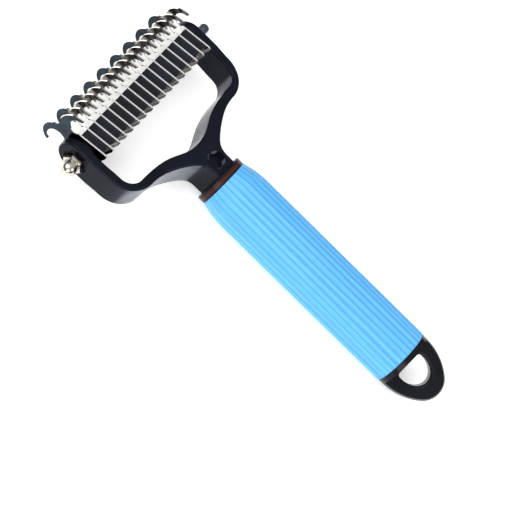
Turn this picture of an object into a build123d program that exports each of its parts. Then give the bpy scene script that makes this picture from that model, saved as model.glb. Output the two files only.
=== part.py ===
from build123d import *

# Dematting comb: a stack of hooked steel blades on a threaded rod, in a plastic fork with a soft grip.
#
# The tool lies on its back. +Y runs from the tail to the blades, +X runs along the rod, and +Z is up,
# on the side of the longer row of hooks. The origin is under the middle of the tool, on the surface
# that it lies on. Each piece is drawn about the middle of the rod and then moved by one offset.
# In the blades' outline, reach is the distance in front of the rod and height is the distance above it.

import os
from math import atan2, cos, degrees, hypot, pi, radians, sin

# ---- driving sizes, in millimetres and degrees ----
overall_length = 170.0

# blades
blade_count = 17
blade_thickness = 0.6
blade_base_half = 10.0
blade_base_drop = 5.3
blade_corner_radius = 1.2
blade_shoulder_height = 7.3
blade_throat_radius = 1.2
blade_neck_half = 3.3
blade_shoulder_width = 1.5
notch_height = 13.8
notch_rounding = 0.8
plain_back_rounding = 2.4
hook_tip_rounding = 0.35
head_tilt = 12.5

# the two hooks: the front one is a long claw, the rear one is rounder and stands a little higher
front_hook = {
    "radius": 8.0,
    "reach": 4.9,
    "crest": 15.3,
    "bore_radius": 3.8,
    "bore_height": 8.7,
    "tip": 10.1,
}
rear_hook = {
    "radius": 6.0,
    "reach": 6.1,
    "crest": 15.8,
    "bore_radius": 3.9,
    "bore_height": 9.3,
    "tip": 10.4,
}

# spacers and end washers
spacer_thickness = 3.5
spacer_inset = 0.8
spacer_top = 6.1
spacer_rear_drop = 3.8
spacer_bottom_gap = 2.0
spacer_corner_radius = 0.8
end_washer_thickness = 0.9
end_washer_radius = 5.6
washer_clearance = 0.1

# rod and nuts
rod_radius = 2.0
rod_fit = 0.05
rod_tip_radius = 1.4
nut_across_flats = 7.0
nut_corner_rounding = 0.35
cap_nut_height = 8.0
cap_hex_height = 3.2
cap_dome_wall = 0.9
cap_dome_share = 0.98
cap_thread_depth = 6.0
cap_recess_depth = 0.7
cap_recess_radius = 5.0
lock_nut_height = 2.2
pocket_depth = 2.4
pocket_clearance = 0.1

# fork
arm_thickness = 3.6
arm_width = 13.0
arm_end_lift = 1.5
arm_lean = 0.5
window_clearance = 3.7
window_drop = 5.7
window_knee_x = 12.0
window_knee_share = 0.4
window_corner_radius = 6.0
fork_corner_radius = 11.0
neck_width = 9.8
neck_widening = 2.6
neck_length = 3.0
neck_flare = 8.2
flare_in = 0.3
flare_end = 1.3
shoulder_top = 0.45
shoulder_low = 1.45
neck_blend_radius = 14.0
fork_edge_radius = 0.9
dimple_to_collar = 5.0
dimple_radius = 3.1
dimple_depth = 2.4
dimple_rim_width = 0.5
dimple_rim_height = 0.25

# collar, core and grip
collar_length = 3.0
collar_step = 1.6
collar_edge_radius = 0.4
spigot_radius = 6.0
grip_length = 90.0
grip_radius = 11.7
sleeve_wall = 2.8
grip_taper_length = 11.0
grip_end_radius = 0.8
rib_count = 30
rib_groove_depth = 0.35
rib_groove_radius = 1.1

# tail loop
loop_step = 0.2
loop_disc_length = 2.0
loop_nose_radius = 8.2
loop_thickness = 8.0
loop_hole_half = 5.6
loop_hole_start = 3.4
loop_hole_shoulder = 1.9
loop_end_wall = 6.8
loop_hole_corner = 1.2
loop_hole_edge = 0.9
loop_plug_radius = 5.0
loop_plug_length = 12.0
loop_turn = 33.0

# how close two positions are when they count as the same
near = 0.01

# ---- sizes that follow from them ----
blade_pitch = blade_thickness + spacer_thickness
stack_half = (blade_count - 1) * blade_pitch / 2 + blade_thickness / 2
arm_inner = stack_half + end_washer_thickness + washer_clearance
arm_outer = arm_inner + arm_thickness
rod_end = arm_outer + cap_nut_height - cap_recess_depth
overall_width = 2 * rod_end
nut_corner_radius = nut_across_flats / 2 / cos(pi / 6)
rod_hole_radius = rod_radius + rod_fit
cap_seat = arm_outer - cap_recess_depth
cap_dome_radius = rod_radius + cap_dome_wall

blade_shoulder_half = blade_neck_half + blade_shoulder_width
side_slope = (blade_base_half - blade_shoulder_half) / (blade_shoulder_height + blade_base_drop)
tilt_sin = sin(radians(head_tilt))
tilt_cos = cos(radians(head_tilt))
rear_middle = rear_hook["crest"] - rear_hook["radius"]
front_middle = front_hook["crest"] - front_hook["radius"]
head_top = rear_hook["reach"] * tilt_sin + rear_middle * tilt_cos + rear_hook["radius"]
head_sweep = max(
    hypot(rear_hook["reach"], rear_middle) + rear_hook["radius"],
    hypot(front_hook["reach"], front_middle) + front_hook["radius"],
)
window_depth = head_sweep + window_clearance
middle_depth = window_depth + window_drop
flare_depth = middle_depth + neck_flare * flare_end
neck_depth = arm_width + neck_widening
collar_distance = flare_depth + neck_length

collar_radius = grip_radius - collar_step
core_radius = grip_radius - sleeve_wall
loop_radius = grip_radius - loop_step
grip_start = collar_distance + collar_length
grip_end = grip_start + grip_length
loop_length = overall_length - head_top - grip_end
loop_nose_depth = loop_length - loop_disc_length - loop_nose_radius
loop_side_square = loop_radius**2 + loop_nose_depth**2 - loop_nose_radius**2
loop_side_arc = loop_side_square / (2 * (loop_radius - loop_nose_radius))

corner_reach = blade_base_half - blade_corner_radius * (hypot(1, side_slope) + side_slope)
corner_back = corner_reach * tilt_cos + (blade_base_drop - blade_corner_radius) * tilt_sin
rod_height = max(grip_radius, corner_back + blade_corner_radius)
offset = Location((0, overall_length / 2 - head_top, rod_height))


def side_plane(x):
    """The plane across the rod at x: its own x runs to the front and its y to the head."""
    return Plane(origin=(x, 0, 0), x_dir=(0, 0, 1), z_dir=(-1, 0, 0))


def plate(outline, x, thickness):
    """A flat outline made into a plate across the rod, with its middle at x."""
    return extrude(side_plane(x) * outline, amount=thickness / 2, both=True)


def along_rod(radius, start, end):
    """A round bar on the rod's axis from one x to another."""
    bar = Cylinder(radius, end - start, align=(Align.CENTER, Align.CENTER, Align.MIN))
    return Plane(origin=(start, 0, 0), x_dir=(0, 1, 0), z_dir=(1, 0, 0)) * bar


def hex_along_rod(across_flats, start, end):
    """A hexagonal bar on the rod's axis from one x to another."""
    outline = RegularPolygon(across_flats / 2, 6, major_radius=False)
    across = Plane(origin=(start, 0, 0), x_dir=(0, 1, 0), z_dir=(1, 0, 0))
    return extrude(across * outline, amount=end - start)


def along_handle(radius, start, end):
    """A round bar on the handle's axis from one distance below the rod to another."""
    bar = Cylinder(radius, end - start, align=(Align.CENTER, Align.CENTER, Align.MIN))
    return Plane(origin=(0, -start, 0), x_dir=(1, 0, 0), z_dir=(0, -1, 0)) * bar


def tilted(shape):
    """A piece of the head turned about the rod into the tilt that it is stored at."""
    return shape.rotate(Axis.X, head_tilt)


def corners_at(outline, height):
    """The corners of an outline at one height, from the rear to the front."""
    return outline.vertices().filter_by_position(Axis.Y, height - near, height + near).sort_by(Axis.X)


def body_half_width(height):
    """Half the width of a blade's body at a height, on its leaning sides."""
    return blade_base_half - (height + blade_base_drop) * side_slope


# ---- the head ----
def blade_hook(side):
    """The outline of one hook: a disc above the tip, less the round bore under the crest."""
    hook = front_hook if side > 0 else rear_hook
    middle = Pos(side * hook["reach"], hook["crest"] - hook["radius"])
    above_tip = Pos(0, hook["tip"]) * Rectangle(
        overall_width, overall_width, align=(Align.CENTER, Align.MIN)
    )
    bore_reach = blade_neck_half + hook["bore_radius"]
    bore = Pos(side * bore_reach, hook["bore_height"]) * Circle(hook["bore_radius"])
    outline = (middle * Circle(hook["radius"]) & above_tip) - bore
    tip = corners_at(outline, hook["tip"])
    return fillet(tip[-2:] if side > 0 else tip[:2], hook_tip_rounding)


def blade_outline(sides):
    """A blade seen from its end, with a hook on each of the given sides."""
    right = [
        (blade_base_half, -blade_base_drop),
        (blade_shoulder_half, blade_shoulder_height),
        (blade_neck_half, blade_shoulder_height),
        (blade_neck_half, notch_height),
    ]
    left = [(-reach, height) for reach, height in reversed(right)]
    outline = make_face(Polyline(*right, *left, close=True))
    outline = fillet(corners_at(outline, -blade_base_drop), blade_corner_radius)
    outline = fillet(corners_at(outline, blade_shoulder_height)[1:3], blade_throat_radius)
    if len(sides) == 1:
        outline = fillet(corners_at(outline, notch_height)[0], plain_back_rounding)
    for side in sides:
        outline += blade_hook(side)
    for corner in corners_at(outline, notch_height)[-len(sides):]:
        outline = fillet(corner, notch_rounding)
    return outline - Circle(rod_hole_radius)


def blade(number, x):
    """One blade: the odd ones have a hook on both sides, the even ones on the front only."""
    sides = (1, -1) if number % 2 else (1,)
    return tilted(plate(blade_outline(sides), x, blade_thickness))


def spacer(x):
    """A plastic block between two blades, a little smaller than their bodies, lower at the rear."""
    bottom = -blade_base_drop + spacer_bottom_gap
    rear_top = spacer_top - spacer_rear_drop
    top_half = body_half_width(spacer_top) - spacer_inset
    rear_half = body_half_width(rear_top) - spacer_inset
    bottom_half = body_half_width(bottom) - spacer_inset
    outline = make_face(
        Polyline(
            (bottom_half, bottom),
            (top_half, spacer_top),
            (-rear_half, rear_top),
            (-bottom_half, bottom),
            close=True,
        )
    )
    outline = fillet(outline.vertices(), spacer_corner_radius) - Circle(rod_hole_radius)
    return tilted(plate(outline, x, spacer_thickness))


def end_washer(side):
    """The round washer between the last blade and an arm."""
    outline = Circle(end_washer_radius) - Circle(rod_hole_radius)
    return plate(outline, side * (stack_half + end_washer_thickness / 2), end_washer_thickness)


# ---- the rod and its nuts ----
def through_rod():
    """The threaded rod, from inside the cap nut to its rounded free end."""
    rod = along_rod(rod_radius, -cap_seat - cap_thread_depth, rod_end)
    return fillet(rod.edges().sort_by(Axis.X)[-1], rod_tip_radius)


def nut_body(start, end):
    """A hexagonal nut with rounded corners at both ends."""
    inner = hex_along_rod(nut_across_flats, start, end)
    trim = along_rod(nut_corner_radius, start, end)
    rims = trim.edges().filter_by(GeomType.CIRCLE)
    return inner & chamfer(rims, nut_corner_rounding)


def cap_nut():
    """The domed nut outside the near arm."""
    hexagon = nut_body(-cap_seat - cap_hex_height, -cap_seat)
    dome = along_rod(cap_dome_radius, -rod_end, -cap_seat - cap_hex_height)
    dome = fillet(dome.edges().sort_by(Axis.X)[0], cap_dome_radius * cap_dome_share)
    thread = along_rod(rod_radius, -cap_seat - cap_thread_depth, -cap_seat)
    return hexagon + dome - thread


def lock_nut():
    """The thin nut in the far arm's hexagonal pocket."""
    floor = arm_outer - pocket_depth
    return nut_body(floor, floor + lock_nut_height) - along_rod(rod_radius, floor, arm_outer)


# ---- the fork ----
def fork_outline():
    """The fork seen from the front: two arms, sweeping shoulders and the neck."""
    half_neck = neck_width / 2
    arm_top = arm_end_lift + arm_width / 2
    lean_start = -arm_width / 2
    inner_x = arm_inner - arm_lean - window_corner_radius
    inner_y = -window_depth + window_corner_radius
    outer_x = arm_outer - arm_lean - fork_corner_radius
    base_y = -window_depth - arm_thickness
    outer_y = base_y + fork_corner_radius
    down = [(0, -1), (0, -1)]
    knee = (window_knee_x, -window_depth - window_drop * window_knee_share)

    window = Spline((0, -middle_depth), knee, (inner_x, -window_depth), tangents=[(1, 0), (1, 0)])
    inner_corner = CenterArc((inner_x, inner_y), window_corner_radius, -90, 90)
    inner_lean = Spline((arm_inner, lean_start), (arm_inner - arm_lean, inner_y), tangents=down)
    inner_side = Line((arm_inner, lean_start), (arm_inner, arm_top))
    end = Line((arm_inner, arm_top), (arm_outer, arm_top))
    outer_side = Line((arm_outer, arm_top), (arm_outer, lean_start))
    outer_lean = Spline((arm_outer, lean_start), (arm_outer - arm_lean, outer_y), tangents=down)
    outer_corner = CenterArc((outer_x, outer_y), fork_corner_radius, -90, 90)
    shoulder = Spline(
        (outer_x, base_y),
        (half_neck + neck_flare, -middle_depth - arm_thickness * shoulder_top),
        (half_neck + neck_flare * flare_in, -middle_depth - arm_thickness * shoulder_low),
        (half_neck, -flare_depth),
        tangents=[(-1, 0), (0, -1)],
    )
    neck_side = Line((half_neck, -flare_depth), (half_neck, -collar_distance))
    neck_base = Line((half_neck, -collar_distance), (0, -collar_distance))
    middle = Line((0, -collar_distance), (0, -middle_depth))
    inside = [window, inner_corner, inner_lean, inner_side]
    outside = [outer_side, outer_lean, outer_corner, shoulder, neck_side]
    half = make_face([*inside, end, *outside, neck_base, middle])
    return half + mirror(half, Plane.YZ)


def fork_side_outline():
    """The fork seen along the rod: arms with round ends that widen into the neck."""
    half_arm = arm_width / 2
    half_neck = neck_depth / 2
    widen_start = -window_depth + window_corner_radius / 2
    widen_end = -(window_depth + window_drop + neck_flare)
    right = [
        (half_arm, arm_end_lift),
        (half_arm, widen_start),
        (half_neck, widen_end),
        (half_neck, -collar_distance),
    ]
    left = [(-reach, height) for reach, height in reversed(right)]
    outline = make_face(Polyline(*right, *left, close=True))
    bends = corners_at(outline, widen_start) + corners_at(outline, widen_end)
    outline = fillet(bends, neck_blend_radius)
    return outline + Pos(0, arm_end_lift) * Circle(half_arm)


def fork():
    """The black moulding: the fork, its spigot through the collar, and the core inside the grip."""
    front = extrude(fork_outline(), amount=neck_depth, both=True)
    body = front & plate(fork_side_outline(), 0, 2 * overall_width)
    base = body.faces().sort_by(Axis.Y)[0]
    body = fillet([edge for edge in body.edges() if edge not in base.edges()], fork_edge_radius)

    body += along_handle(spigot_radius, collar_distance, grip_start)
    body += along_handle(core_radius, grip_start, grip_end)
    body -= along_handle(loop_plug_radius, grip_end - loop_plug_length, grip_end)

    face = Plane.XY * Pos(0, dimple_to_collar - collar_distance, neck_depth / 2)
    rim = Cylinder(dimple_radius + dimple_rim_width, 2 * dimple_rim_height)
    body += face * rim
    body -= face * Cylinder(dimple_radius, 2 * dimple_depth)

    body -= along_rod(rod_radius, -overall_width, overall_width)
    body -= along_rod(cap_recess_radius, -overall_width, -cap_seat)
    body -= hex_along_rod(nut_across_flats + pocket_clearance, arm_outer - pocket_depth, overall_width)
    return body


# ---- the handle ----
def collar_ring():
    """The ring between the neck and the grip."""
    ring = along_handle(collar_radius, collar_distance, grip_start)
    ring = fillet(ring.edges().filter_by(GeomType.CIRCLE), collar_edge_radius)
    return ring - along_handle(spigot_radius, collar_distance, grip_start)


def grip_sleeve():
    """The soft sleeve over the core: it swells from the collar and has fine grooves along it."""
    straight_start = -grip_start - grip_taper_length
    section = make_face(
        [
            Line((core_radius, -grip_start), (collar_radius, -grip_start)),
            Spline(
                (collar_radius, -grip_start),
                (grip_radius, straight_start),
                tangents=[(grip_radius - collar_radius, -grip_taper_length / 2), (0, -1)],
            ),
            Line((grip_radius, straight_start), (grip_radius, -grip_end)),
            Line((grip_radius, -grip_end), (core_radius, -grip_end)),
            Line((core_radius, -grip_end), (core_radius, -grip_start)),
        ]
    )
    sleeve = revolve(section, Axis.Y)
    end_rim = sleeve.edges().filter_by(GeomType.CIRCLE).sort_by(Axis.Y).filter_by(
        lambda edge: edge.center().Y < near - grip_end and edge.radius > core_radius + near
    )
    sleeve = fillet(end_rim, grip_end_radius)
    groove = along_handle(rib_groove_radius, grip_start, grip_end)
    groove_distance = grip_radius + rib_groove_radius - rib_groove_depth
    for number in range(rib_count):
        sleeve -= Rot(0, number * 360 / rib_count, 0) * Pos(0, 0, groove_distance) * groove
    return sleeve


def loop_body():
    """The rounded end of the handle, before its sides are flattened: a long side arc, then a nose."""
    side_center = loop_radius - loop_side_arc
    turn = degrees(atan2(loop_nose_depth, -side_center))
    base_y = -grip_end - loop_disc_length
    section = make_face(
        [
            Line((0, -grip_end), (loop_radius, -grip_end)),
            Line((loop_radius, -grip_end), (loop_radius, base_y)),
            CenterArc((side_center, base_y), loop_side_arc, -turn, turn),
            CenterArc((0, base_y - loop_nose_depth), loop_nose_radius, -90, 90 - turn),
            Line((0, -grip_end - loop_length), (0, -grip_end)),
        ]
    )
    return revolve(section, Axis.Y)


def loop_hole():
    """The outline of the hanging hole: an ellipse cut off flat on the grip's side."""
    tip_reach = loop_length - loop_end_wall - loop_hole_start - loop_hole_shoulder
    ellipse = Pos(0, -grip_end - loop_hole_start - loop_hole_shoulder) * Ellipse(loop_hole_half, tip_reach)
    below = Pos(0, -grip_end - loop_hole_start) * Rectangle(
        4 * loop_radius, 2 * loop_length, align=(Align.CENTER, Align.MAX)
    )
    outline = ellipse & below
    return fillet(outline.vertices(), loop_hole_corner)


def tail_loop():
    """The hanging loop that plugs into the core, turned about the handle's axis."""
    loop = loop_body()
    for side in (1, -1):
        outward = Align.MIN if side > 0 else Align.MAX
        loop -= Pos(0, -grip_end - loop_disc_length, side * loop_thickness / 2) * Box(
            4 * loop_radius, 2 * loop_length, 2 * loop_radius, align=(Align.CENTER, Align.MAX, outward)
        )
    loop -= extrude(loop_hole(), amount=loop_thickness, both=True)
    flats = [face for face in loop.faces().filter_by(Axis.Z) if face.inner_wires()]
    loop = fillet([rim for face in flats for rim in face.inner_wires()[0].edges()], loop_hole_edge)
    loop += along_handle(loop_plug_radius, grip_end - loop_plug_length, grip_end)
    return loop.rotate(Axis.Y, -loop_turn)


def all_pieces():
    """Every piece by name, about the middle of the rod."""
    pieces = {
        "fork_and_core": fork(),
        "collar_ring": collar_ring(),
        "grip_sleeve": grip_sleeve(),
        "tail_loop": tail_loop(),
        "through_rod": through_rod(),
        "cap_nut": cap_nut(),
        "lock_nut": lock_nut(),
        "end_washer_near": end_washer(-1),
        "end_washer_far": end_washer(1),
    }
    first_x = -(blade_count - 1) * blade_pitch / 2
    for number in range(1, blade_count + 1):
        x = first_x + (number - 1) * blade_pitch
        pieces[f"blade_{number:02d}"] = blade(number, x)
        if number < blade_count:
            pieces[f"spacer_{number:02d}"] = spacer(x + blade_pitch / 2)
    return pieces


os.makedirs("parts", exist_ok=True)
for name, piece in all_pieces().items():
    export_step(offset * piece, f"parts/{name}.step")
print("rod height", round(rod_height, 3), "head top", round(head_top, 3))
print("overall width", round(overall_width, 3), "collar distance", round(collar_distance, 3))
print("window depth", round(window_depth, 3), "loop length", round(loop_length, 3))
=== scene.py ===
# %% [markdown]
# # Dematting comb with hooked steel blades
# The real tool is a hand rake for coats that mat: seventeen hooked steel blades on a threaded rod,
# held in a black plastic fork, with a soft blue grip and a loop to hang it by. The shapes come
# ready-made from the CAD model, which loads first. This lesson adds what CAD leaves out: finishes,
# a floor, light and a camera.

# %% Load the model
import math

import bmesh
import bpy
from mathutils import Matrix, Vector


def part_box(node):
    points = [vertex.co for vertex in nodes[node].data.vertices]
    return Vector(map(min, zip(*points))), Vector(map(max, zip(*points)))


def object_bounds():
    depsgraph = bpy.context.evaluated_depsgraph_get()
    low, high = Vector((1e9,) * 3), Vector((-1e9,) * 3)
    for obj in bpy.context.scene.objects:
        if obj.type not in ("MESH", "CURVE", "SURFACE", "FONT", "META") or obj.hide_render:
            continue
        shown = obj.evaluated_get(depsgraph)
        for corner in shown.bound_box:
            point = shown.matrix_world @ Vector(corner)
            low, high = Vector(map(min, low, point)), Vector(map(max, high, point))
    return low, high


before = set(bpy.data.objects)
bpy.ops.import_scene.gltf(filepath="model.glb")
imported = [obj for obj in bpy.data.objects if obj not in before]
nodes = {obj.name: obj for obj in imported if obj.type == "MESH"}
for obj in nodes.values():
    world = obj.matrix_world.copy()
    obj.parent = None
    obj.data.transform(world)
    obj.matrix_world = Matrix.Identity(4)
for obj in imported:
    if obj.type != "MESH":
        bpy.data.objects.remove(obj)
cad_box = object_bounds()
scene = bpy.context.scene
MM = 0.001
print("CAD box", [round(side / MM, 1) for side in cad_box[1] - cad_box[0]], "mm,", len(nodes), "nodes")

# %% [markdown]
# ## Places that everything is measured from
# The rod is the tool's reference, as it is in the workshop: the blades are threaded on it and the
# fork holds its two ends. Its middle comes from the rod's own box, so nothing here has to be typed
# in twice. The head is stored a little tipped back, and that angle is worth knowing too, because
# the finish of a blade changes with the height along the blade and not along the world.

# %% The rod, the blades and the tilt
rod_low, rod_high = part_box("through_rod")
rod_middle = (rod_low + rod_high) / 2
rod_radius = (rod_high.z - rod_low.z) / 2
HEAD_TILT = math.radians(12.5)
blade_up = Vector((0, math.cos(HEAD_TILT), math.sin(HEAD_TILT)))
blade_names = sorted(name for name in nodes if name.startswith("blade_"))
spacer_names = sorted(name for name in nodes if name.startswith("spacer_"))
print("rod at", [round(value / MM, 1) for value in rod_middle], "mm, radius", round(rod_radius / MM, 2))
print(len(blade_names), "blades and", len(spacer_names), "spacers")

# %% [markdown]
# ## Helpers for materials
# Colours are written as the hex values that a paint shop or a web page would use. Blender mixes
# light in linear values, so one function turns the first into the second. Another helper adds one
# node with its settings and its links, which keeps each recipe readable from top to bottom. Noise
# seldom leaves the middle of its range, so the recipes stretch the part between two named limits.

# %% Colour and node helpers
NOISE_LOW = 0.3
NOISE_HIGH = 0.7


def linear(hex_colour):
    """An sRGB hex colour as the linear RGBA that Blender's sockets take."""
    values = []
    for start in (0, 2, 4):
        share = int(hex_colour[start:start + 2], 16) / 255
        values.append(share / 12.92 if share <= 0.04045 else ((share + 0.055) / 1.055) ** 2.4)
    return (*values, 1.0)


def add(tree, kind, inputs=None, links=None, **settings):
    """One node of a kind, with its settings, its socket values and what feeds its sockets."""
    node = tree.nodes.new(kind)
    for name, value in settings.items():
        setattr(node, name, value)
    for socket, value in (inputs or {}).items():
        node.inputs[socket].default_value = value
    for socket, source in (links or {}).items():
        tree.links.new(source, node.inputs[socket])
    return node


def new_material(name, **surface):
    """A new material with its Principled shader, set to the values given."""
    material = bpy.data.materials.new(name)
    material.use_nodes = True
    shader = material.node_tree.nodes["Principled BSDF"]
    for socket, value in surface.items():
        shader.inputs[socket.replace("_", " ").title().replace("Ior", "IOR")].default_value = value
    return material, material.node_tree, shader


def ramp(tree, source, stops):
    """A colour ramp with the given (position, colour) stops, fed by a source."""
    node = add(tree, "ShaderNodeValToRGB", links={"Fac": source})
    elements = node.color_ramp.elements
    while len(elements) < len(stops):
        elements.new(0.5)
    for element, (position, colour) in zip(elements, stops):
        element.position = position
        element.color = colour
    return node


def two_tone(tree, source, low_hex, high_hex):
    """A ramp from one hex colour to another over the stretched part of a noise."""
    return ramp(tree, source, [(NOISE_LOW, linear(low_hex)), (NOISE_HIGH, linear(high_hex))])


print("helpers ready")

# %% [markdown]
# ## Moulded polypropylene, for the fork and the loop
# The fork is polypropylene from a steel mould with a satin finish. The plastic itself is nearly black
# with a breath of blue, and it is the slight sheen that shows its shape. Up close the mould leaves a
# fine orange-peel texture, about a third of a millimetre across. Handling polishes some patches more
# than others, so the roughness wanders over a centimetre or so, and scuffs a millimetre long break it
# up. Surfaces of the fork that face forward and outward, as the shoulders do, get a paler grey as a
# painted sheen, patchy with the same noise. The same recipe makes the loop, the spacers, the washers
# and, further down, the collar.

# %% Satin black plastic
PATCH_SIZE = 11.11 * MM
SCUFF_SIZE = 1.43 * MM
GLOSS_SPREAD = 0.04
SCUFF_ROUGHNESS = 0.06
GRAIN_STRENGTH = 0.35
SHEEN_FACING = Vector((0.5, 0.866, 0.0))
SHEEN_FROM = 0.86


def wire_up(tree, shader, colour, roughness, bump):
    """Joins a finished recipe to its shader: colour, roughness and bump."""
    tree.links.new(colour, shader.inputs["Base Color"])
    tree.links.new(roughness, shader.inputs["Roughness"])
    tree.links.new(bump.outputs["Normal"], shader.inputs["Normal"])


def moulded_plastic(name, hex_colour, dark_hex, grain_mm, roughness, depth_mm, shine, painted_sheen_hex=None):
    """Moulded black plastic with mould grain, patches of gloss and scuffs, and a painted sheen where asked.
    """
    material, tree, shader = new_material(name, ior=1.49, specular_ior_level=shine)
    place = add(tree, "ShaderNodeTexCoord").outputs["Object"]
    grain = add(
        tree, "ShaderNodeTexNoise", {"Scale": 1 / (grain_mm * MM), "Detail": 3.0}, {"Vector": place}
    )
    patches = add(
        tree, "ShaderNodeTexNoise", {"Scale": 1 / PATCH_SIZE, "Detail": 4.0}, {"Vector": place}
    )
    scuffs = add(
        tree, "ShaderNodeTexNoise", {"Scale": 1 / SCUFF_SIZE, "Detail": 5.0, "Roughness": 0.7},
        {"Vector": place},
    )
    colour = two_tone(tree, patches.outputs["Fac"], dark_hex, hex_colour)
    colour = colour.outputs["Color"]
    # Painted sheen: faces turned toward the shoulder direction are mixed toward a paler grey that stands in
    # for reflected light.
    if painted_sheen_hex:
        facing = add(tree, "ShaderNodeTexCoord").outputs["Normal"]
        level_side = add(tree, "ShaderNodeVectorMath", links={0: facing}, operation="ABSOLUTE")
        turn = add(
            tree, "ShaderNodeVectorMath", {1: SHEEN_FACING}, {0: level_side.outputs["Vector"]},
            operation="DOT_PRODUCT",
        )
        painted_sheen = add(
            tree, "ShaderNodeMapRange", {"From Min": SHEEN_FROM, "From Max": 1.0},
            {"Value": turn.outputs["Value"]}, interpolation_type="SMOOTHSTEP",
        )
        patchy_sheen = add(
            tree, "ShaderNodeMath", links={0: painted_sheen.outputs["Result"], 1: patches.outputs["Fac"]},
            operation="MULTIPLY",
        )
        colour = add(
            tree, "ShaderNodeMix", {7: linear(painted_sheen_hex)}, {"Factor": patchy_sheen.outputs[0], 6: colour},
            data_type="RGBA",
        ).outputs[2]
    gloss = add(
        tree, "ShaderNodeMapRange",
        {
            "From Min": NOISE_LOW, "From Max": NOISE_HIGH,
            "To Min": roughness - GLOSS_SPREAD, "To Max": roughness + GLOSS_SPREAD,
        },
        {"Value": patches.outputs["Fac"]},
    )
    worn = add(
        tree, "ShaderNodeMath", {1: SCUFF_ROUGHNESS},
        {0: scuffs.outputs["Fac"], 2: gloss.outputs["Result"]}, operation="MULTIPLY_ADD",
    )
    bump = add(
        tree, "ShaderNodeBump", {"Strength": GRAIN_STRENGTH, "Distance": depth_mm * MM},
        {"Height": grain.outputs["Fac"]},
    )
    wire_up(tree, shader, colour, worn.outputs["Value"], bump)
    return material


# The fork's paler grey on its shoulders is a painted sheen.
fork_black = moulded_plastic(
    "polypropylene_satin_black", "121620", "0B0E15", 0.35, 0.13, 0.010, 0.08, painted_sheen_hex="8A8D96"
)
loop_black = moulded_plastic("polypropylene_loop_black", "12141A", "0B0D11", 0.35, 0.17, 0.010, 0.12)
spacer_black = moulded_plastic("nylon_spacer_black", "161824", "0B0C12", 0.45, 0.42, 0.06, 0.18)
washer_black = moulded_plastic("nylon_washer_black", "17181D", "0C0D10", 0.45, 0.45, 0.04, 0.2)
print("plastics:", fork_black.name, loop_black.name, spacer_black.name, washer_black.name)

# %% [markdown]
# ## Collar ring
# The collar is black plastic too, with a faint red-brown band round the middle of its outer face and
# two dark rims. The band is placed from the ring's own width, so it follows the ring if the ring
# changes.

# %% Black collar with a warm middle band
BAND_STRENGTH = 0.75
collar_black = moulded_plastic("polypropylene_collar_textured", "1A1417", "0D0A0D", 0.5, 0.24, 0.05, 0.12)
collar_low, collar_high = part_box("collar_ring")
collar_tree = collar_black.node_tree
collar_colour = collar_tree.nodes["Principled BSDF"].inputs["Base Color"]
collar_place = add(
    collar_tree, "ShaderNodeSeparateXYZ",
    links={"Vector": add(collar_tree, "ShaderNodeTexCoord").outputs["Object"]},
)
across = add(
    collar_tree, "ShaderNodeMapRange", {"From Min": collar_low.y, "From Max": collar_high.y},
    {"Value": collar_place.outputs["Y"]},
)
rim_dark = linear("0B090C")
warm_band = [(0.12, rim_dark), (0.4, linear("4C231D")), (0.6, linear("3A1B17")), (0.85, rim_dark)]
tint = ramp(collar_tree, across.outputs["Result"], warm_band)
banded = add(
    collar_tree, "ShaderNodeMix", {"Factor": BAND_STRENGTH},
    {6: collar_colour.links[0].from_socket, 7: tint.outputs["Color"]}, data_type="RGBA",
)
collar_tree.links.new(banded.outputs[2], collar_colour)
print("collar band over", round((collar_high.y - collar_low.y) / MM, 2), "mm")

# %% [markdown]
# ## Stainless blades
# Each blade is stamped from stainless strip, tumbled, and then ground along its edge. The necks and
# the ground edge keep the bright steel all the way round. On the flat faces the recipe paints light
# and shade: a straw painted reflection high on the hooks and a pale painted reflection along the foot,
# brown painted shade at the claws and the heel, and blue-grey painted shade on the rear hooks. One
# recipe holds it all: it tells a face from an edge by the surface's own direction, and a hook from a
# neck by how far up, forward or back it is from the rod. The first blade gets blue-grey painted shade
# on its outer face as well. The grain is drawn two millimetres long and a seventh of a millimetre
# apart, which is coarser than the real one, and it changes only slowly from one end of the stack to
# the other.

# %% Satin steel with bright edges, painted reflections and painted shade
HOOK_START = 10.2 * MM
HOOK_FADE = 1.4 * MM
BEAK_START = 8.8 * MM
REAR_REACH = 1.5 * MM
CLAW_REACH = 4.2 * MM
FOOT_DEPTH = 2.9 * MM
HEEL_DEPTH = 4.0 * MM
FOOT_FADE = 0.4 * MM
FACE_FROM = 0.6
FACE_FULL = 0.9
TINT_SIZE = 3.85 * MM
STACK_CHANGE = 125.0 * MM
GRAIN_LENGTH = 2.08 * MM
GRAIN_SPACING = 0.139 * MM
blade_front = Vector((0, -math.sin(HEAD_TILT), math.cos(HEAD_TILT)))


def distance_along(tree, place, direction, start, length):
    """A mask that rises from 0 to 1 over a length, from a start measured from the rod along a direction."""
    along = add(tree, "ShaderNodeVectorMath", {1: direction}, {0: place}, operation="DOT_PRODUCT")
    level = direction.dot(rod_middle) + start
    return add(
        tree, "ShaderNodeMapRange", {"From Min": level, "From Max": level + length},
        {"Value": along.outputs["Value"]}, interpolation_type="SMOOTHSTEP",
    ).outputs["Result"]


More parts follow.
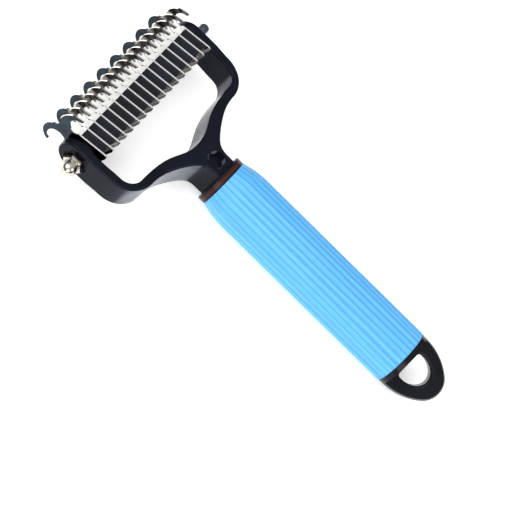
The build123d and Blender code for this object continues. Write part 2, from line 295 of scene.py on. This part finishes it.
def blade_steel(name, end_blade):
    """Stainless strip with bright edges and painted reflections and shade on its faces. An end blade gets
    painted shade on its outer face too.
    """
    material, tree, shader = new_material(name, metallic=1.0)
    coordinates = add(tree, "ShaderNodeTexCoord")
    place = coordinates.outputs["Object"]
    high = distance_along(tree, place, blade_up, HOOK_START, HOOK_FADE)
    rear = distance_along(tree, place, -blade_front, REAR_REACH, HOOK_FADE)
    claw = distance_along(tree, place, blade_front, CLAW_REACH, HOOK_FADE)
    foot = distance_along(tree, place, -blade_up, FOOT_DEPTH, FOOT_FADE)
    heel = distance_along(tree, place, -blade_up, HEEL_DEPTH, FOOT_FADE)
    beak = distance_along(tree, place, blade_up, BEAK_START, FOOT_FADE)
    side = add(tree, "ShaderNodeSeparateXYZ", links={"Vector": coordinates.outputs["Normal"]})
    flatness = add(tree, "ShaderNodeMath", links={0: side.outputs["X"]}, operation="ABSOLUTE")
    face = add(
        tree, "ShaderNodeMapRange", {"From Min": FACE_FROM, "From Max": FACE_FULL},
        {"Value": flatness.outputs["Value"]},
    ).outputs["Result"]
    outer = add(
        tree, "ShaderNodeMapRange", {"From Min": -FACE_FROM, "From Max": -FACE_FULL},
        {"Value": side.outputs["X"]},
    ).outputs["Result"]
    clouds = add(tree, "ShaderNodeTexNoise", {"Scale": 1 / TINT_SIZE, "Detail": 3.0}, {"Vector": place})
    stretched = add(
        tree, "ShaderNodeMapping",
        {"Scale": (1 / STACK_CHANGE, 1 / GRAIN_LENGTH, 1 / GRAIN_SPACING)}, {"Vector": place},
    ).outputs["Vector"]
    grain = add(tree, "ShaderNodeTexNoise", {"Scale": 1.0, "Detail": 4.0}, {"Vector": stretched})
    bright = two_tone(tree, clouds.outputs["Fac"], "F6F6F6", "FFFEFC")
    painted_straw_reflection = ramp(tree, clouds.outputs["Fac"], [(0.35, linear("A8A39B")), (0.65, linear("DDD8D0"))])
    painted_pale_reflection = two_tone(tree, clouds.outputs["Fac"], "CFCAC3", "E6E2DC")
    painted_brown_shade = two_tone(tree, clouds.outputs["Fac"], "4A4A4B", "797675")
    painted_blue_grey_shade = two_tone(tree, clouds.outputs["Fac"], "20282E", "303B43")
    layer = bright.outputs["Color"]
    # Painted light on the faces: straw and pale are painted reflections, brown is painted shade at claws and
    # heel, blue-grey is painted shade on the rear hooks.
    painted_coats = [
        ([face, high], painted_straw_reflection), ([face, beak, claw], painted_brown_shade), ([face, beak, rear], painted_blue_grey_shade),
        ([face, foot], painted_pale_reflection), ([face, heel], painted_brown_shade),
    ]
    # The end blade's outer face gets blue-grey painted shade, where the arm shades it.
    if end_blade:
        painted_coats.append(([outer], painted_blue_grey_shade))
    for masks, coat in painted_coats:
        amount = masks[0]
        for mask in masks[1:]:
            amount = add(tree, "ShaderNodeMath", links={0: amount, 1: mask}, operation="MULTIPLY").outputs[0]
        layer = add(
            tree, "ShaderNodeMix", links={"Factor": amount, 6: layer, 7: coat.outputs["Color"]},
            data_type="RGBA",
        ).outputs[2]
    rough = add(
        tree, "ShaderNodeMapRange",
        {"From Min": NOISE_LOW, "From Max": NOISE_HIGH, "To Min": 0.06, "To Max": 0.15},
        {"Value": grain.outputs["Fac"]},
    )
    bump = add(
        tree, "ShaderNodeBump", {"Strength": 0.10, "Distance": 0.01 * MM}, {"Height": grain.outputs["Fac"]}
    )
    wire_up(tree, shader, layer, rough.outputs["Result"], bump)
    return material


inner_blade_steel = blade_steel("stainless_blade_painted_reflection_and_shade", False)
end_blade_steel = blade_steel("stainless_end_blade_painted_shade", True)
print("blades:", inner_blade_steel.name, end_blade_steel.name)

# %% [markdown]
# ## Plated rod and nuts
# The rod is zinc-plated M4 screw stock and the cap nut is bright nickel on brass. Both are mirrors
# with slightly soft edges, so they are almost white where they see the lights and black where they
# see the dark plastic. Faint tumbling marks, about half a millimetre long, keep them from looking
# like glass, and the tint changes over some three millimetres.

# %% Bright plated metal
MARK_SIZE = 0.4545 * MM
PLATE_TINT_SIZE = 2.857 * MM
MARK_ROUGHNESS = 0.12


def plated(name, hex_colour, tint_hex, roughness):
    """Bright plating over turned metal, with fine marks and a slow change of tint."""
    material, tree, shader = new_material(name, metallic=1.0)
    place = add(tree, "ShaderNodeTexCoord").outputs["Object"]
    marks = add(tree, "ShaderNodeTexNoise", {"Scale": 1 / MARK_SIZE, "Detail": 4.0}, {"Vector": place})
    clouds = add(
        tree, "ShaderNodeTexNoise", {"Scale": 1 / PLATE_TINT_SIZE, "Detail": 2.0}, {"Vector": place}
    )
    colour = ramp(tree, clouds.outputs["Fac"], [(0.35, linear(tint_hex)), (0.65, linear(hex_colour))])
    gloss = add(
        tree, "ShaderNodeMapRange",
        {
            "From Min": NOISE_LOW, "From Max": NOISE_HIGH,
            "To Min": roughness, "To Max": roughness + MARK_ROUGHNESS,
        },
        {"Value": marks.outputs["Fac"]},
    )
    bump = add(
        tree, "ShaderNodeBump", {"Strength": 0.12, "Distance": 0.01 * MM}, {"Height": marks.outputs["Fac"]}
    )
    wire_up(tree, shader, colour.outputs["Color"], gloss.outputs["Result"], bump)
    return material


nut_nickel = plated("nickel_plate_bright", "D2CCC1", "B3ADA2", 0.09)
rod_zinc = plated("zinc_plate_bright", "63707A", "47525B", 0.14)
print("plating:", nut_nickel.name, rod_zinc.name)

# %% [markdown]
# ## Soft blue grip
# The sleeve is thermoplastic rubber moulded over the core. Rubber like this has no clear gloss: it
# is rough with a soft sheen at glancing angles, and it glows a little because light enters the
# skin. The thirty grooves are real shapes in the CAD. The recipe deepens them with a bump wave of the
# same count round the grip and, with the same wave, paints shade into them. On top come fine lines
# along the grip, a third of a millimetre apart, broader streaks of a millimetre or so, and pores of a
# third of a millimetre. Lines and streaks are laid out by the angle round the grip, so their scale is
# the grip's radius over their width.

# %% Ribbed rubber
grip_low, grip_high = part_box("grip_sleeve")
grip_middle = (grip_low + grip_high) / 2
grip_radius = (grip_high.x - grip_low.x) / 2
RIB_COUNT = 30
STREAK_WIDTH = 1.3 * MM
LINE_SPACING = 0.344 * MM
PORE_SIZE = 0.3333 * MM
GROOVE_SHADE = 0.5
PORE_HEIGHT = 0.25
GROOVE_HEIGHT = -1.5


def ribbed_rubber(name, light_hex, rib_hex, groove_shade_hex):
    """Blue thermoplastic rubber with fine lines along the grip and an uneven, powdery sheen."""
    material, tree, shader = new_material(
        name, ior=1.48, subsurface_weight=0.12, subsurface_scale=1.5 * MM, sheen_weight=0.15,
        sheen_roughness=0.4,
    )
    place = add(tree, "ShaderNodeTexCoord").outputs["Object"]
    centred = add(
        tree, "ShaderNodeVectorMath", {1: grip_middle}, {0: place}, operation="SUBTRACT"
    ).outputs["Vector"]
    parts = add(tree, "ShaderNodeSeparateXYZ", links={"Vector": centred})
    around = add(
        tree, "ShaderNodeMath", links={0: parts.outputs["X"], 1: parts.outputs["Z"]}, operation="ARCTAN2"
    )
    turned = add(
        tree, "ShaderNodeCombineXYZ", links={"X": around.outputs["Value"], "Y": parts.outputs["Y"]}
    ).outputs["Vector"]
    phase = add(tree, "ShaderNodeMath", {1: float(RIB_COUNT)}, {0: around.outputs[0]}, operation="MULTIPLY")
    wave = add(tree, "ShaderNodeMath", links={0: phase.outputs[0]}, operation="COSINE")
    groove = add(
        tree, "ShaderNodeMapRange", {"From Min": 0.1, "From Max": 1.0}, {"Value": wave.outputs[0]},
        interpolation_type="SMOOTHSTEP",
    ).outputs["Result"]
    streaks = add(
        tree, "ShaderNodeTexNoise", {"Scale": grip_radius / STREAK_WIDTH, "Detail": 3.0, "Roughness": 0.6},
        {"Vector": turned},
    )
    lines = add(
        tree, "ShaderNodeTexNoise", {"Scale": grip_radius / LINE_SPACING, "Detail": 2.0},
        {"Vector": turned},
    )
    pores = add(tree, "ShaderNodeTexNoise", {"Scale": 1 / PORE_SIZE, "Detail": 2.0}, {"Vector": place})
    ribs = ramp(tree, streaks.outputs["Fac"], [(0.32, linear(rib_hex)), (0.62, linear(light_hex))])
    # Painted shade in the grooves: where the wave dips, the colour is mixed toward a deeper blue.
    shaded = add(tree, "ShaderNodeMath", {1: GROOVE_SHADE}, {0: groove}, operation="MULTIPLY")
    colour = add(
        tree, "ShaderNodeMix", {7: linear(groove_shade_hex)},
        {"Factor": shaded.outputs[0], 6: ribs.outputs["Color"]}, data_type="RGBA",
    )
    gloss = add(
        tree, "ShaderNodeMapRange",
        {"From Min": NOISE_LOW, "From Max": NOISE_HIGH, "To Min": 0.42, "To Max": 0.6},
        {"Value": streaks.outputs["Fac"]},
    )
    relief = add(
        tree, "ShaderNodeMath", {1: PORE_HEIGHT}, {0: pores.outputs["Fac"], 2: lines.outputs["Fac"]},
        operation="MULTIPLY_ADD",
    )
    ribbed = add(
        tree, "ShaderNodeMath", {1: GROOVE_HEIGHT}, {0: groove, 2: relief.outputs["Value"]},
        operation="MULTIPLY_ADD",
    )
    bump = add(
        tree, "ShaderNodeBump", {"Strength": 0.35, "Distance": 0.15 * MM}, {"Height": ribbed.outputs[0]}
    )
    wire_up(tree, shader, colour.outputs[2], gloss.outputs["Result"], bump)
    return material


grip_blue = ribbed_rubber("thermoplastic_rubber_blue", "5DB2E8", "459DDC", "2A7DC4")
print("rubber:", grip_blue.name)

# %% [markdown]
# ## Give every CAD piece its finish
# The CAD shapes are right as they are, rounded edges and all, so they stay and only change their
# material. Blades and spacers go by their names, because there are so many of each.

# %% Assign finishes
def finish(name, material):
    """Gives a CAD piece one material."""
    data = nodes[name].data
    data.materials.clear()
    data.materials.append(material)


finishes = {
    "fork_and_core": fork_black,
    "collar_ring": collar_black,
    "grip_sleeve": grip_blue,
    "tail_loop": loop_black,
    "through_rod": rod_zinc,
    "cap_nut": nut_nickel,
    "lock_nut": nut_nickel,
    "end_washer_near": washer_black,
    "end_washer_far": washer_black,
}
for name in spacer_names:
    finishes[name] = spacer_black
for name in blade_names:
    finishes[name] = inner_blade_steel
finishes[blade_names[0]] = end_blade_steel
for name, material in finishes.items():
    finish(name, material)
print("finishes on", len(finishes), "pieces")

# %% [markdown]
# ## Floor
# A sheet of matt paper is the plainest stand for a product: it gives a soft shadow and says nothing
# else. It is far larger than the tool, so its edge never comes into view. The paper glows a little,
# as it does when a lamp lights it from behind. Its fibres are drawn a millimetre long, which is
# coarser than real ones.

# %% Pale paper floor
FLOOR_HALF = 4.0
PAPER_GLOW = 0.38
FIBRE_LENGTH = 1.111 * MM
paper, paper_tree, paper_shader = new_material(
    "paper_matt_white", roughness=0.9, specular_ior_level=0.1, emission_color=linear("FFFFFF"),
    emission_strength=PAPER_GLOW,
)
paper_place = add(paper_tree, "ShaderNodeTexCoord").outputs["Object"]
fibres = add(
    paper_tree, "ShaderNodeTexNoise", {"Scale": 1 / FIBRE_LENGTH, "Detail": 3.0}, {"Vector": paper_place}
)
paper_colour = two_tone(paper_tree, fibres.outputs["Fac"], "F7F7F7", "FDFDFD")
paper_tree.links.new(paper_colour.outputs["Color"], paper_shader.inputs["Base Color"])
floor_mesh = bmesh.new()
corner_signs = [(-1, -1), (1, -1), (1, 1), (-1, 1)]
floor_mesh.faces.new([floor_mesh.verts.new((x * FLOOR_HALF, y * FLOOR_HALF, 0.0)) for x, y in corner_signs])
floor_data = bpy.data.meshes.new("paper_floor")
floor_mesh.to_mesh(floor_data)
floor_mesh.free()
floor_data.materials.append(paper)
floor = bpy.data.objects.new("paper_floor", floor_data)
scene.collection.objects.link(floor)
print("floor", 2 * FLOOR_HALF, "m across")

# %% [markdown]
# ## Light
# A studio lights a product with large soft boxes. The biggest one hangs over the head of the tool, and
# a bright room fills the shadows. Glossy black plastic shows its shape only by what it mirrors, so the
# side boxes are placed where the fork's shoulders and arms mirror them.

# %% Soft boxes and the room
ROOM_STRENGTH = 0.8


def soft_box(name, place, aim, size, power):
    """A square area light at a place, turned to its aim."""
    data = bpy.data.lights.new(name, "AREA")
    data.shape = "SQUARE"
    data.size = size
    data.energy = power
    light = bpy.data.objects.new(name, data)
    light.location = place
    light.rotation_euler = (Vector(aim) - Vector(place)).to_track_quat("-Z", "Y").to_euler()
    scene.collection.objects.link(light)


centre = (cad_box[0] + cad_box[1]) / 2
soft_box("box_over_head", (-0.2, 0.6, 1.0), centre, size=0.9, power=8.0)
soft_box("box_camera_side", (-1.0, -0.3, 0.6), centre, size=0.8, power=9.0)
soft_box("box_tail", (0.1, -0.9, 0.8), centre, size=0.6, power=3.0)
world = bpy.data.worlds.new("studio")
scene.world = world
world.use_nodes = True
sky = world.node_tree
look = add(sky, "ShaderNodeTexCoord").outputs["Generated"]
height = add(sky, "ShaderNodeSeparateXYZ", links={"Vector": look}).outputs["Z"]
wall_and_ceiling = [
    (0.0, linear("2A2A2C")), (0.18, linear("5A5A5E")), (0.5, linear("E6E6E8")), (1.0, linear("FFFFFF"))
]
room = ramp(sky, height, wall_and_ceiling)
sky.links.new(room.outputs["Color"], sky.nodes["Background"].inputs["Color"])
sky.nodes["Background"].inputs["Strength"].default_value = ROOM_STRENGTH
scene.view_settings.view_transform = "Standard"
print("three soft boxes and a bright ceiling over dark walls")

# %% [markdown]
# ## Camera
# A long lens keeps a small tool from looking stretched. The camera stands over the cap nut's side,
# looks down at the middle of the tool, and is rolled so that the handle runs to a lower corner.

# %% Camera
CAMERA_PLACE = Vector((-0.54066, 0.07520, 0.77308))
CAMERA_AIM = Vector((-0.01284, -0.00366, 0.01170))
CAMERA_ROLL = math.radians(51.384)
LENS_MM = 180.0
SENSOR_MM = 36.0
camera_data = bpy.data.cameras.new("camera")
camera_data.lens = LENS_MM
camera_data.sensor_width = SENSOR_MM
camera = bpy.data.objects.new("camera", camera_data)
scene.collection.objects.link(camera)
forward = (CAMERA_AIM - CAMERA_PLACE).normalized()
level = forward.cross(Vector((0, 0, 1))).normalized()
upright = level.cross(forward)
right = level * math.cos(CAMERA_ROLL) + upright * math.sin(CAMERA_ROLL)
up = right.cross(forward)
axes = Matrix((right, up, -forward)).transposed().to_4x4()
camera.matrix_world = Matrix.Translation(CAMERA_PLACE) @ axes
scene.camera = camera
distance = (CAMERA_AIM - CAMERA_PLACE).length
print("camera", round(distance, 3), "m from the tool, lens", LENS_MM, "mm")
